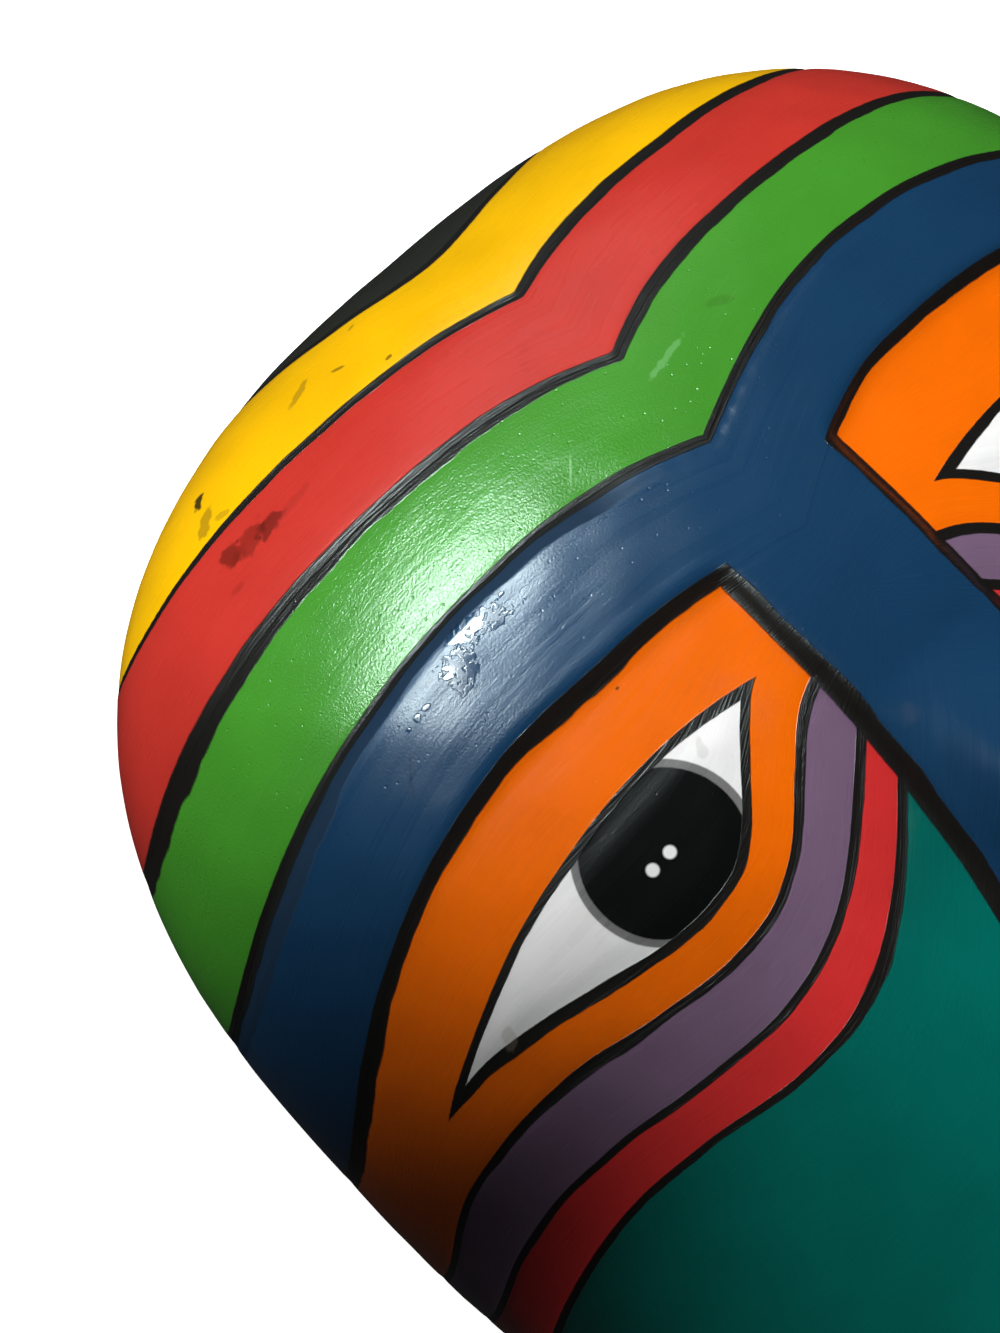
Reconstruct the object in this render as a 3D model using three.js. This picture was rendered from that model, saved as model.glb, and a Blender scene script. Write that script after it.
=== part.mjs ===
// Wooden tribal mask: one piece of wood, carved to a deep oval dome with a face,
// hollowed from behind to an even wall, and painted on the front.
// It lies on its rim, face up. Millimetres, +Z up. +X is the viewer's right, +Y points to the crown.
// The origin is on the rim's plane, at the middle of the outline's box.

import * as THREE from 'three';

// Outline of the rim, measured from the level where the mask is widest.
const HALF_WIDTH = 105;
const CROWN_REACH = 105;
const CHIN_REACH = 155;
const WIDEST_LEVEL = (CHIN_REACH - CROWN_REACH) / 2;
const OUTLINE_POWER = 2.65;

// Dome, and the wall that the hollowing leaves.
const DOME_HEIGHT = 66;
const DOME_POWER = 0.53;
const WALL = 9;

// Brow line: the upper edge of the two sunk eye panels, as heights above the widest level.
// It was drawn by eye, and sits a little higher on the viewer's right.
const BROW = {
  innerX: 12.8, innerY: 32, peakX: 31, peakY: 34.2, outerX: 105, outerY: 0.4,
  innerPower: 2, outerPower: 2.7, rightLift: 5.6, liftFrom: -15, liftTo: 30,
};
const PANEL = {
  depth: 2.2, edge: 4.5, sideEdge: 3, fadeTop: -4, fadeBottom: -34, outerFrom: 55, outerTo: 100,
};

// Nose: level with the brow between the eyes, then a ridge that rises to a rounded tip.
const NOSE = {
  top: 6, tip: -42, base: -58, height: 19, rise: 1.3, rounding: 0.8,
  edgeTop: 12.8, edgeTip: 20, widenFrom: 12, flatShare: 0.22, slopeShare: 1.05,
  wingX: 15, wingY: -45, wingHalfWidth: 7, wingHalfLength: 10, wingHeight: 4,
};

// Closed mouth and chin, kept plain.
const MOUTH = {
  level: -88, halfWidth: 31, lip: 9, height: 4.5, leastShare: 0.15,
  parting: 2.6, partingDepth: 2.2, partingEnd: 0.85,
};
const CHIN = { level: -128, halfWidth: 34, halfHeight: 20, height: 3.5 };

// Cells across and along the front skin. The hollow has half as many each way.
const CELLS = { across: 54, along: 62 };
const CENTRE_CROWDING = 0.3;

const clamp = (value) => Math.min(1, Math.max(0, value));

// Smooth step from 0 at a to 1 at b.
function step(a, b, value) {
  const t = clamp((value - a) / (b - a));
  return t * t * (3 - 2 * t);
}

// A bell that is 1 in the middle and 0 from one half width on.
function bell(distance) {
  const t = clamp(1 - distance * distance);
  return t * t;
}

// The chin half of the outline is drawn out by a square term, so that the curve runs on smoothly.
function chinStretch(crown, chin) {
  return (chin / crown - 1) / (chin * chin);
}

// Height above the widest level at a share of the crown's reach: y / crown + stretch * y * y = share.
function reachAt(share, crown, chin) {
  if (share >= 0) return share * crown;
  const k = chinStretch(crown, chin);
  return (-1 / crown + Math.sqrt(1 / (crown * crown) + 4 * k * share)) / (2 * k);
}

// Brow line's height: up a little from the nose to its peak, then down to the rim in a long arc.
function browLine(x) {
  const beyondPeak = Math.abs(x) - BROW.peakX;
  const drop = beyondPeak < 0
    ? (BROW.peakY - BROW.innerY) * Math.pow(beyondPeak / (BROW.innerX - BROW.peakX), BROW.innerPower)
    : (BROW.peakY - BROW.outerY) * Math.pow(beyondPeak / (BROW.outerX - BROW.peakX), BROW.outerPower);
  return BROW.peakY - drop + BROW.rightLift * step(BROW.liftFrom, BROW.liftTo, x);
}

// Side edge of the nose: straight between the eyes, then wider to the tip.
function noseEdge(y) {
  const t = clamp((NOSE.widenFrom - y) / (NOSE.widenFrom - NOSE.tip));
  return NOSE.edgeTop + (NOSE.edgeTip - NOSE.edgeTop) * t * t;
}

// Eye panel: sunk below the brow and beside the nose, and fading out on the cheek.
function panelDepth(x, y) {
  const side = Math.abs(x);
  const half = PANEL.edge / 2;
  const underBrow = step(half, -half, y - browLine(x));
  const sideHalf = PANEL.sideEdge / 2;
  const besideNose = step(noseEdge(y) - sideHalf, noseEdge(y) + sideHalf, side);
  const down = step(PANEL.fadeBottom, PANEL.fadeTop, y);
  const outward = step(PANEL.outerTo, PANEL.outerFrom, side);
  return PANEL.depth * underBrow * besideNose * down * outward;
}

// Nose above the dome: ridge with sloping sides, rounded off under the tip, and two nostril wings.
function noseHeight(x, y) {
  const side = Math.abs(x);
  const along = clamp((NOSE.top - y) / (NOSE.top - NOSE.tip));
  const under = clamp((NOSE.tip - y) / (NOSE.tip - NOSE.base));
  const ridge = NOSE.height * Math.pow(along, NOSE.rise) * Math.pow(1 - under * under, NOSE.rounding);
  const across = 1 - step(NOSE.flatShare, NOSE.slopeShare, side / noseEdge(y));
  const wing = Math.hypot((side - NOSE.wingX) / NOSE.wingHalfWidth, (y - NOSE.wingY) / NOSE.wingHalfLength);
  return ridge * across + NOSE.wingHeight * bell(wing);
}

// Lips: a raised almond, parted by a groove along its middle.
function lipHeight(x, y) {
  const along = Math.abs(x) / MOUTH.halfWidth;
  const open = Math.sqrt(clamp(1 - along * along));
  const above = y - MOUTH.level;
  const swell = MOUTH.height * bell(above / (MOUTH.lip * Math.max(open, MOUTH.leastShare))) * Math.sqrt(open);
  const cut = MOUTH.partingDepth * bell(above / MOUTH.parting) * step(1, MOUTH.partingEnd, along);
  return swell - cut;
}

function chinHeight(x, y) {
  return CHIN.height * bell(Math.hypot(x / CHIN.halfWidth, (y - CHIN.level) / CHIN.halfHeight));
}

function carving(x, y) {
  return noseHeight(x, y) + lipHeight(x, y) + chinHeight(x, y) - panelDepth(x, y);
}

// A skin is a grid of points over the outline. A square is mapped to a disc, and the disc to the
// outline, with the rings crowded towards the rim where the dome is steep.
function skin({ across, along, halfWidth, crown, chin, height, carve, facing }) {
  const points = [];
  for (let j = 0; j <= along; j++) {
    for (let i = 0; i <= across; i++) {
      const s = (2 * i) / across - 1;
      const u = s * (1 - CENTRE_CROWDING * (1 - s * s));
      const v = (2 * j) / along - 1;
      const discX = u * Math.sqrt(1 - (v * v) / 2);
      const discY = v * Math.sqrt(1 - (u * u) / 2);
      const radius = Math.min(1, Math.hypot(discX, discY));
      const norm = Math.pow(
        Math.pow(Math.abs(discX), OUTLINE_POWER) + Math.pow(Math.abs(discY), OUTLINE_POWER),
        1 / OUTLINE_POWER,
      ) || 1;
      const onRim = i === 0 || j === 0 || i === across || j === along;
      const level = onRim ? 1 : Math.sin((radius * Math.PI) / 2);
      const x = (halfWidth * level * discX) / norm;
      const y = reachAt((level * discY) / norm, crown, chin);
      const dome = height * Math.pow(Math.max(0, 1 - level * level), DOME_POWER);
      points.push(x, y + WIDEST_LEVEL, onRim ? 0 : dome + (carve ? carving(x, y) : 0));
    }
  }
  const faces = [];
  const at = (i, j) => j * (across + 1) + i;
  for (let j = 0; j < along; j++) {
    for (let i = 0; i < across; i++) {
      const [a, b, c, d] = [at(i, j), at(i + 1, j), at(i + 1, j + 1), at(i, j + 1)];
      // The diagonal points to the middle, so that no corner cell lies flat on the rim.
      const rising = (i < across / 2) === (j < along / 2);
      const pair = rising ? [[a, b, c], [a, c, d]] : [[a, b, d], [b, c, d]];
      for (const face of pair) faces.push(facing > 0 ? face : face.toReversed());
    }
  }
  return { points, faces, border: border(across, along) };
}

// Indices of a grid's border, anticlockwise from its lower left corner.
function border(across, along) {
  const at = (i, j) => j * (across + 1) + i;
  const loop = [];
  for (let i = 0; i < across; i++) loop.push(at(i, 0));
  for (let j = 0; j < along; j++) loop.push(at(across, j));
  for (let i = across; i > 0; i--) loop.push(at(i, along));
  for (let j = along; j > 0; j--) loop.push(at(0, j));
  return loop;
}

// The front skin, the hollow and the flat rim between them, joined into one closed body.
function carvedShell() {
  const front = skin({
    ...CELLS, halfWidth: HALF_WIDTH, crown: CROWN_REACH, chin: CHIN_REACH,
    height: DOME_HEIGHT, carve: true, facing: 1,
  });
  const hollow = skin({
    across: CELLS.across / 2, along: CELLS.along / 2, halfWidth: HALF_WIDTH - WALL,
    crown: CROWN_REACH - WALL, chin: CHIN_REACH - WALL,
    height: DOME_HEIGHT - WALL, carve: false, facing: -1,
  });
  const offset = front.points.length / 3;
  const inner = hollow.border.map((index) => index + offset);
  const faces = [...front.faces, ...hollow.faces.map((face) => face.map((index) => index + offset))];
  // Each rim stretch has two edges of the front skin and one of the hollow.
  for (let k = 0; k < inner.length; k++) {
    const [a, b, c] = [0, 1, 2].map((n) => front.border[(2 * k + n) % front.border.length]);
    const [d, e] = [inner[k], inner[(k + 1) % inner.length]];
    faces.push([a, d, b], [b, d, e], [b, e, c]);
  }
  const geometry = new THREE.BufferGeometry();
  geometry.setAttribute('position', new THREE.Float32BufferAttribute([...front.points, ...hollow.points], 3));
  geometry.setIndex(faces.flat());
  geometry.computeVertexNormals();
  return geometry;
}

const paintedWood = new THREE.MeshStandardMaterial({ color: 0x1c4063, roughness: 0.35, metalness: 0 });

const mask = new THREE.Mesh(carvedShell(), paintedWood);
mask.name = 'mask';

const part = new THREE.Group();
part.add(mask);

export default part;
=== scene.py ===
import math

import bpy
import numpy as np
from mathutils import Matrix, Vector


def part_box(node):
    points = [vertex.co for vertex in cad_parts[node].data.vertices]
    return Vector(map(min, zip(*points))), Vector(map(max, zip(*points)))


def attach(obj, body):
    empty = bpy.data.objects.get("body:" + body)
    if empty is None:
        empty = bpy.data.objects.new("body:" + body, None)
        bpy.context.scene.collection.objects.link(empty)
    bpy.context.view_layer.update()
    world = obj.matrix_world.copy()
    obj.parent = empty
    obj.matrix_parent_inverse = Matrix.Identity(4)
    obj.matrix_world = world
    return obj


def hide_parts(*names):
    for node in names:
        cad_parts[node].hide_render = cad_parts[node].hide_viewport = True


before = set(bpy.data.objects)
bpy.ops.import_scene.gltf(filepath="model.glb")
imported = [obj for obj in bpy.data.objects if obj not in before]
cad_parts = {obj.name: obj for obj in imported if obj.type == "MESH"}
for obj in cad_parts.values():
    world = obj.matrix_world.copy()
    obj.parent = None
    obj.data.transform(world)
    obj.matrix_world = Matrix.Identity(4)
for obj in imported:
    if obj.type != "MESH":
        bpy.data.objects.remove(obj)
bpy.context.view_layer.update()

# The view
# The mask lies on its rim, face up. The camera hangs over its left edge and looks down and across at the
# brow, rolled so that the crown is at the upper left and the middle of the face runs off to the right.
MM = 0.001
VIEW_TURN = math.radians(-12.56)
VIEW_ROLL = math.radians(42.74)
VIEW_AIM = Vector((-39.9, 68.6, 39.3)) * MM
VIEW_DISTANCE = 308.9 * MM
LENS = 57.4
CLIP_START = 10 * MM

turn = Matrix.Rotation(VIEW_TURN, 3, "Y") @ Matrix.Rotation(-VIEW_ROLL, 3, "Z")
camera = bpy.data.objects.new("camera", bpy.data.cameras.new("camera"))
camera.data.lens = LENS
camera.data.clip_start = CLIP_START
camera.location = VIEW_AIM + VIEW_DISTANCE * turn.col[2]
camera.rotation_euler = turn.to_euler()
bpy.context.collection.objects.link(camera)
bpy.context.scene.camera = camera

# The light
# Small spot lamps stand almost overhead, towards the crown, and the edge of their beams leaves the lower
# left dark. Fills reach the flanks, the cheek and the chin. They all leave no image in the gloss: the long
# cool sheen along the bands and the small glints have soft lamps of their own, which light no paint.
LAMP_DISTANCE = 620
WHITE = (1, 1, 1)
# Azimuths turn from the crown to the viewer's right, and a height is the angle over the floor. The cone is
# the beam's full angle, and the edge its soft share. Angles are in degrees and lengths in millimetres. A
# lamp marked as gloss shows only in the gloss, and the others don't show in it.
LAMPS = {
    "key": {
        "azimuths": (-38, -20, -2), "height": 86, "width": 40, "watts": 3.65,
        "aim": (55, 105, 40), "cone": 31.2, "edge": 0.52,
    },
    "sheen": {
        "azimuths": (-36, -21, -6), "height": 42, "width": 145, "watts": 9.6,
        "aim": (10, 124, 45), "cone": 22, "edge": 1.0, "colour": (0.84, 1, 1.0), "gloss": True,
    },
    "glint": {
        "azimuths": (-47, -37, -27, -16), "height": 47, "width": 80, "watts": 0.6,
        "aim": (-44, 76, 55), "cone": 12, "edge": 0.6, "colour": (0.88, 0.97, 1), "gloss": True,
    },
    "left fill": {
        "azimuths": (-46,), "height": 6, "width": 20, "watts": 6.3,
        "aim": (-100, 125, 15), "cone": 15.6, "edge": 1.0,
    },
    "crown fill": {
        "azimuths": (21,), "height": 15, "distance": 900, "width": 500, "watts": 23.5,
        "aim": (0, 0, 40), "cone": 80, "edge": 0.5,
    },
    "chin fill": {
        "azimuths": (112, 176), "height": 36, "width": 40, "watts": 7.5,
        "aim": (30, -74, 30), "cone": 17, "edge": 0.8,
    },
    "jaw fill": {
        "azimuths": (-138,), "height": 32, "width": 20, "watts": 5.5,
        "aim": (-66, -86, 20), "cone": 9, "edge": 0.9,
    },
    "cheek fill": {
        "azimuths": (163,), "height": 56, "width": 20, "watts": 9.5,
        "aim": (-34, -44, 50), "cone": 11, "edge": 0.5,
    },
}
LIT_POINT = Vector((0, 45, 40)) * MM
ROOM_GLOW = 0.014

for name, lamp in LAMPS.items():
    for azimuth in lamp["azimuths"]:
        data = bpy.data.lights.new(name, "SPOT")
        data.energy = lamp["watts"]
        data.color = lamp.get("colour", WHITE)
        data.shadow_soft_size = lamp["width"] / 2 * MM
        data.spot_size = math.radians(lamp["cone"])
        data.spot_blend = lamp["edge"]
        around = math.radians(azimuth)
        above = math.radians(lamp["height"])
        level = math.cos(above)
        away = Vector((math.sin(around) * level, math.cos(around) * level, math.sin(above)))
        spot = bpy.data.objects.new(name, data)
        spot.location = LIT_POINT + away * lamp.get("distance", LAMP_DISTANCE) * MM
        beam = spot.location - Vector(lamp["aim"]) * MM
        spot.rotation_euler = beam.to_track_quat("Z", "Y").to_euler()
        spot.visible_glossy = lamp.get("gloss", False)
        spot.visible_diffuse = not spot.visible_glossy
        bpy.context.collection.objects.link(spot)

room = bpy.data.worlds.new("room")
room.use_nodes = True
room.node_tree.nodes["Background"].inputs["Color"].default_value = (*WHITE, 1)
room.node_tree.nodes["Background"].inputs["Strength"].default_value = ROOM_GLOW
bpy.context.scene.world = room
bpy.context.scene.view_settings.view_transform = "Standard"


# The floor
# A plain pale sweep of painted board, flat under the mask and curved up all round far away. It is white
# from its own faint glow, and sends no light to the mask, whose lower flanks stay dark as in the photograph.
FLOOR_DROP = 0.2 * MM
FLOOR_MIDDLE = 0.001
FLOOR_REACH = 1.6
SWEEP_RADIUS = 1.2
SWEEP_STEPS, SWEEP_SIDES = 24, 96
FLOOR_COLOUR = "#F4F4F2"
FLOOR_GLOW = 1.15
FLOOR_ROUGHNESS, FLOOR_GLOSS = 0.9, 0.1


def linear(code):
    """An sRGB hex colour as linear red, green, blue and alpha."""
    srgb = np.array([int(code[k:k + 2], 16) for k in (1, 3, 5)]) / 255
    low, high = srgb / 12.92, ((srgb + 0.055) / 1.055) ** 2.4
    return (*np.where(srgb <= 0.04045, low, high).tolist(), 1.0)


def add(tree, kind, inputs=None, **settings):
    """Adds a node. inputs maps its sockets to values or to other nodes' outputs."""
    node = tree.nodes.new(kind)
    for key, value in settings.items():
        setattr(node, key, value)
    for key, value in (inputs or {}).items():
        if isinstance(value, bpy.types.NodeSocket):
            tree.links.new(value, node.inputs[key])
        else:
            node.inputs[key].default_value = value
    return node


def grid_faces(rows, columns, first=0):
    """Two triangles for each cell of a grid of points that is stored row by row. The diagonal of each cell
    points to the middle of the grid, so that no corner cell of a rounded outline is left flat."""
    row, column = np.mgrid[0:rows - 1, 0:columns - 1]
    a = (row * columns + column).ravel() + first
    b, c, d = a + 1, a + columns + 1, a + columns
    rising = ((row < (rows - 1) / 2) == (column < (columns - 1) / 2)).ravel()[:, None]
    one = np.where(rising, np.stack([a, b, c], 1), np.stack([a, b, d], 1))
    two = np.where(rising, np.stack([a, c, d], 1), np.stack([b, c, d], 1))
    return np.concatenate([one, two])


def new_piece(name, points, faces):
    """A smooth shaded object at the origin, from points in metres and triangles."""
    mesh = bpy.data.meshes.new(name)
    mesh.from_pydata(points.tolist(), [], faces.tolist())
    mesh.shade_smooth()
    piece = bpy.data.objects.new(name, mesh)
    bpy.context.collection.objects.link(piece)
    return piece


# The sweep's profile runs out flat and then round a quarter circle. It is spun about the middle.
climb = np.linspace(0, math.pi / 2, SWEEP_STEPS)
reach = np.concatenate([[FLOOR_MIDDLE, 0.5 * FLOOR_REACH], FLOOR_REACH + SWEEP_RADIUS * np.sin(climb)])
rise = np.concatenate([[0, 0], SWEEP_RADIUS * (1 - np.cos(climb))]) - FLOOR_DROP
round_angle = np.linspace(0, 2 * math.pi, SWEEP_SIDES + 1)[:, None]
sweep = np.stack([
    -reach * np.sin(round_angle), reach * np.cos(round_angle), rise + 0 * round_angle,
], 2)
floor = new_piece("floor", sweep.reshape(-1, 3), grid_faces(*sweep.shape[:2])[:, ::-1])
board = bpy.data.materials.new("matt white board")
board.use_nodes = True
for socket, value in {
    "Base Color": linear(FLOOR_COLOUR), "Roughness": FLOOR_ROUGHNESS, "Specular IOR Level": FLOOR_GLOSS,
    "Emission Color": linear(FLOOR_COLOUR), "Emission Strength": FLOOR_GLOW,
}.items():
    board.node_tree.nodes["Principled BSDF"].inputs[socket].default_value = value
floor.data.materials.append(board)
floor.visible_diffuse = False
floor.visible_glossy = False


# The mask
# One block of light wood, carved to a deep oval dome with a long ridged nose and two sunk eye panels, and
# hollowed from behind to an even wall. The front is brushed with gloss enamel in bands that follow incised
# lines, which are picked out in black. The hollow and the rim's underside are bare wood.
box_low, box_high = (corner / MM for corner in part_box("mask"))
HALF_WIDTH = (box_high.x - box_low.x) / 2
CROWN_REACH = HALF_WIDTH
CHIN_REACH = box_high.y - box_low.y - CROWN_REACH
WIDEST_LEVEL = box_high.y - CROWN_REACH
OUTLINE_POWER = 2.65
DOME_HEIGHT = 66
DOME_POWER = 0.53
WALL = 9
RIM_ROUND = 1.2
CENTRE_CROWDING = 0.3

# Heights below are measured from the widest level, in millimetres. x is positive on the viewer's right.
PANEL = {
    "depth": 2.2, "edge": 4.5, "side_edge": 3, "fade_top": -4, "fade_bottom": -34,
    "outer_from": 55, "outer_to": 100,
}
NOSE = {
    "top": 6, "tip": -42, "base": -58, "height": 19, "rise": 1.3, "rounding": 0.8,
    "edge_top": 12.8, "edge_tip": 20, "widen_from": 12, "flat_share": 0.22, "slope_share": 1.05,
    "wing_x": 15, "wing_y": -45, "wing_half_width": 7, "wing_half_length": 10, "wing_height": 4,
}
MOUTH = {
    "level": -88, "half_width": 31, "lip": 9, "height": 4.5, "least_share": 0.15,
    "parting": 2.6, "parting_depth": 2.2, "parting_end": 0.85, "painted_share": 0.9,
}
CHIN = {
    "level": -128, "half_width": 34, "half_height": 20, "height": 3.5, "line": -119, "line_bend": 0.012,
}
EYE = {"x": 45, "y": 9.6, "iris": 13.05, "pupil": 11.9, "softness": 0.15, "bulge": 0.6, "slope": 4.2}
RIGHT_EYE_LIFT = 2.5
LIFTED_FROM, LIFTED_TO = -8, 12
BROW_DIP = {"depth": 0.7, "x": -33, "half_width": 20}


def smooth(low, high, value):
    """0 up to low, 1 from high on, and 3t^2 - 2t^3 between them."""
    t = np.clip((value - low) / (high - low), 0, 1)
    return t * t * (3 - 2 * t)


def bell(distance):
    """1 in the middle, falling as (1 - d^2)^2 to 0 at a distance of 1."""
    return np.clip(1 - distance**2, 0, 1) ** 2


def arch(x, middle, peak, peak_at, side, inner, outer, lift=0, lift_from=-1, lift_to=1):
    """Height of an edge that arches over both eyes. It falls from the peak over each eye to a cusp in the
    middle, and further out to a height of side at the widest point of the rim. Each fall is the distance
    from the peak, as a share of its whole run, to a power. The right half is lifted, as it was drawn by
    eye."""
    out = np.abs(x) - peak_at
    to_middle = (peak - middle) * np.clip(-out / peak_at, 0, 1) ** inner
    to_side = (peak - side) * np.clip(out / (HALF_WIDTH - peak_at), 0, 2) ** outer
    return peak - to_middle - to_side + lift * smooth(lift_from, lift_to, x)


def freehand(x, points):
    """Height of a line drawn through a few points, the same on both sides but lifted over the right eye. It
    is a cubic between neighbouring points. The slope at a point is that between those on either side."""
    at, height = np.array(points, float).T
    slope = np.gradient(height, at)
    side = np.clip(np.abs(x), at[0], at[-1])
    k = np.clip(np.searchsorted(at, side) - 1, 0, len(at) - 2)
    run = at[k + 1] - at[k]
    t = (side - at[k]) / run
    curve = (
        (1 + 2 * t) * (1 - t) ** 2 * height[k] + t * (1 - t) ** 2 * run * slope[k]
        + t * t * (3 - 2 * t) * height[k + 1] - t * t * (1 - t) * run * slope[k + 1]
    )
    beyond = (np.abs(x) - side) * np.where(np.abs(x) > at[0], slope[-1], slope[0])
    return curve + beyond + RIGHT_EYE_LIFT * smooth(LIFTED_FROM, LIFTED_TO, x)


def nose_edge(y):
    """Half width of the nose: even between the eyes, then wider to the tip as a square."""
    t = np.clip((NOSE["widen_from"] - y) / (NOSE["widen_from"] - NOSE["tip"]), 0, 1)
    return NOSE["edge_top"] + (NOSE["edge_tip"] - NOSE["edge_top"]) * t * t


def nose_outline(x, y):
    """Distance outside the nose, level with the page. Below the tip the outline is half an ellipse."""
    beside = np.abs(x) - nose_edge(y)
    low = NOSE["tip"] - NOSE["base"]
    across, down = x / NOSE["edge_tip"], (NOSE["tip"] - y) / low
    under = (np.hypot(across, down) - 1) * (NOSE["edge_tip"] + low) / 2
    return np.where(y > NOSE["tip"], beside, under)


def lip_outline(x, y):
    """Distance above and below the edge of the lips, level with the page. The edge is an almond: its half
    height is that of the lips, times 1 - (x / half width)^2."""
    almond = MOUTH["lip"] * np.clip(1 - (x / MOUTH["half_width"]) ** 2, -1, 1)
    return np.abs(y - MOUTH["level"]) - MOUTH["painted_share"] * almond


def brow_outline(x, y):
    """Height above the brow's line, which dips a little over the left eye."""
    line = arch(
        x, middle=27.8, peak=34.2, peak_at=31, side=0.4, inner=2.0, outer=2.7,
        lift=5.6, lift_from=-15, lift_to=30,
    )
    return y - line + BROW_DIP["depth"] * bell((x - BROW_DIP["x"]) / BROW_DIP["half_width"])


# Every line of the painting: a function that is positive above it, or outside it where it closes, and its
# width at some places across the face. The charcoal's edge has a round in place of the cusp.
LINES = {
    "charcoal_yellow": (
        lambda x, y: y - arch(
            np.hypot(x + 1, 5), middle=96.4, peak=102.6, peak_at=38, side=90, inner=1.5, outer=2.2,
        ),
        [(0, 1.9), (31, 1.7)],
    ),
    "yellow_red": (
        lambda x, y: y - arch(
            x - 0.5, middle=82.5, peak=87.8, peak_at=40, side=70.3, inner=2.6, outer=2.2,
            lift=-1.1, lift_from=0, lift_to=50,
        ),
        [(-66, 1.2), (-50, 1.7), (0, 2.0), (12, 2.8), (40, 3.0)],
    ),
    "red_green": (
        lambda x, y: y - arch(
            x - 1.2, middle=65.0, peak=71.9, peak_at=38, side=51.1, inner=2.6, outer=2.5,
            lift=-0.7, lift_from=0, lift_to=50,
        ),
        [(-85, 4.5), (-62, 3.7), (-45, 3.0), (-20, 2.9), (0, 2.1), (12, 2.6), (80, 2.6)],
    ),
    "green_navy": (
        lambda x, y: y - arch(
            x, middle=47.5, peak=54.0, peak_at=32, side=28.3, inner=2.0, outer=2.35,
            lift=3.0, lift_from=0, lift_to=42,
        ),
        [(-91, 2.1), (-77, 1.9), (-62, 1.3), (-38, 1.2), (-28, 1.4), (-13, 1.9), (0, 1.5), (30, 1.8)],
    ),
    "brow": (
        brow_outline,
        [
            (-94, 3.0), (-80, 2.4), (-58, 2.4), (-43, 3.0), (-26, 2.8), (-18, 2.3), (0, 2.0), (18, 1.6),
            (60, 2.4),
        ],
    ),
    "nose_side": (nose_outline, [(0, 2.7)]),
    "upper_lid": (
        lambda x, y: y - freehand(x, [
            (15, 16.6), (21.5, 18.35), (28.6, 19.5), (37, 19.95), (45, 19.35), (55.6, 17.2),
            (67.9, 13.2), (79.6, 7.1), (88.3, 1.5), (94, -2.7),
        ]),
        [
            (-90, 0.25), (-86, 1.3), (-55, 1.3), (-40, 1.2), (-25, 1.8), (25, 1.8), (45, 1.3), (86, 1.3),
            (90, 0.25),
        ],
    ),
    "lower_lid": (
        lambda x, y: y - freehand(x, [
            (15, 21.0), (21.5, 18.35), (25.0, 15.2), (28.7, 11.1), (33.2, 5.9), (38.5, 1.4), (44.9, -0.4),
            (52, -0.6), (62.8, 1.2), (75.2, 3.0), (82, 3.0), (88.3, 1.5), (94, -1),
        ]),
        [
            (-90, 0.25), (-86, 1.5), (-78, 2.1), (-62, 2.0), (-45, 1.5), (45, 1.5), (60, 2.0), (86, 1.5),
            (90, 0.25),
        ],
    ),
    "orange_purple": (
        lambda x, y: y - freehand(x, [
            (8, 14.5), (12.8, 13.2), (18, 10.7), (24.3, 5.0), (31.8, -2.3), (38, -6), (47.7, -7.9),
            (60, -7.1), (75.4, -5.6), (86.8, -7.2), (96, -11.3), (105, -21),
        ]),
        [(-91, 1.2), (-80, 1.5), (-70, 2.0), (-59, 1.3), (-30, 1.4), (-17, 1.7), (17, 1.7), (70, 1.8)],
    ),
    "purple_red": (
        lambda x, y: y - freehand(x, [
            (12.8, 4.6), (18.8, -1.1), (25.4, -7.1), (32, -12.1), (38.5, -15.3), (47, -17.5),
            (60, -17.7), (76.4, -16.9), (88.6, -18.9), (96, -22.6), (105, -31),
        ]),
        [(-80, 1.1), (-40, 1.3), (-20, 1.6), (20, 1.6), (60, 1.4)],
    ),
    "red_teal": (
        lambda x, y: y - freehand(x, [
            (12.8, -3.5), (18, -9), (25, -15.5), (32.5, -20.9), (40.6, -24.5), (50, -25.7),
            (67.7, -24.5), (78, -25), (87.9, -28.1), (96, -33), (105, -42),
        ]),
        [(-80, 1.2), (-50, 1.2), (-36, 2.1), (-20, 1.6), (20, 1.8), (80, 1.4)],
    ),
    "lips": (lip_outline, [(0, 1.7)]),
    "chin": (lambda x, y: y - CHIN["line"] + CHIN["line_bend"] * x * x, [(0, 2.2)]),
}


def outline(disc_x, disc_y, level, inset):
    """Place on the page of a point of the unit disc. level is its share of the way to the rim. The outline
    is a superellipse. Its crown half is as high as it is wide, and its chin half is drawn out by a square
    term: y / crown + stretch y^2 = share. inset draws the whole outline in."""
    norm = (np.abs(disc_x) ** OUTLINE_POWER + np.abs(disc_y) ** OUTLINE_POWER) ** (1 / OUTLINE_POWER)
    norm = np.where(norm > 0, norm, 1)
    crown, chin = CROWN_REACH - inset, CHIN_REACH - inset
    stretch = (chin / crown - 1) / chin**2
    share = level * disc_y / norm
    root = np.sqrt(np.clip(1 / crown**2 + 4 * stretch * np.minimum(share, 0), 0, None))
    y = np.where(share >= 0, share * crown, (root - 1 / crown) / (2 * stretch))
    return (HALF_WIDTH - inset) * level * disc_x / norm, y


def disc_grid(rows, columns):
    """A square grid mapped to the unit disc: x sqrt(1 - y^2 / 2) and y sqrt(1 - x^2 / 2). The columns are
    crowded in the middle, where the nose is, as x (1 - crowding (1 - x^2)). The third array is the share of
    the way to the rim: the sine of the radius as a quarter turn, which crowds the rings where the dome is
    steep."""
    s, v = np.meshgrid(np.linspace(-1, 1, columns), np.linspace(-1, 1, rows))
    u = s * (1 - CENTRE_CROWDING * (1 - s * s))
    disc_x, disc_y = u * np.sqrt(1 - v * v / 2), v * np.sqrt(1 - u * u / 2)
    return disc_x, disc_y, np.sin(np.clip(np.hypot(disc_x, disc_y), 0, 1) * math.pi / 2)


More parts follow.
